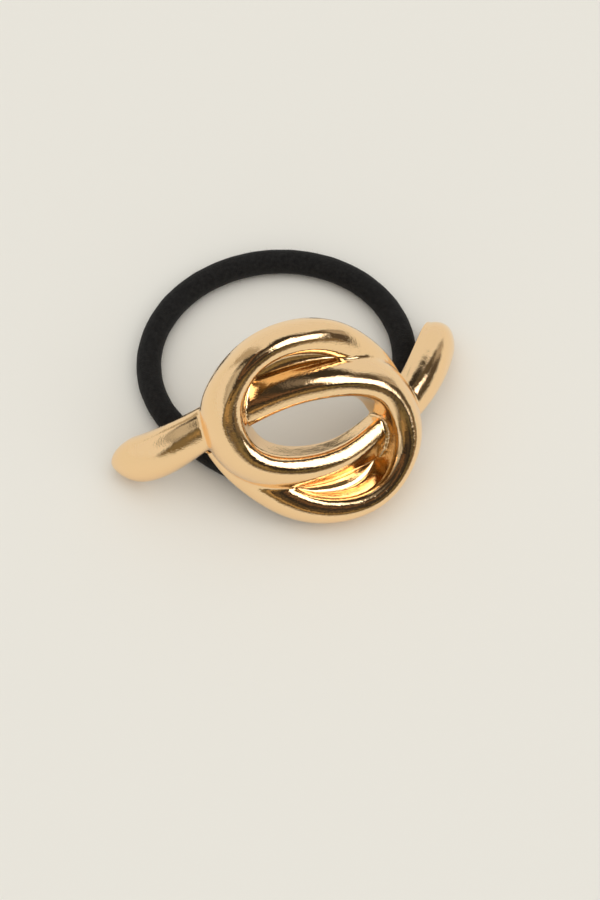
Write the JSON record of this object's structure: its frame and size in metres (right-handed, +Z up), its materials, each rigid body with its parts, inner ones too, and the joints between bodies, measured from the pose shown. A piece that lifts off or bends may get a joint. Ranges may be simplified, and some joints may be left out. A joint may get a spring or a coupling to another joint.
{
  "type": "metal cuff hair tie",
  "caption": "Gold-plated cast knot of two interlaced strands, bent to a cuff with two tails, on a covered black elastic loop held behind it.",
  "frame": {"origin": "middle of the whole object's outline, on the surface it lies on", "axes": "+Z up from the surface, -Y towards the face of the knot, +X to the right seen from the face"},
  "size_m": [0.0611, 0.0583, 0.0312],
  "materials": {
    "gold_plate": "polished gold plating on cast zinc alloy",
    "covered_elastic": "matt knitted cover"
  },
  "bodies": {
    "root": {"knot_cuff": "gold_plate", "elastic_loop": "covered_elastic"}
  },
  "joints": []
}
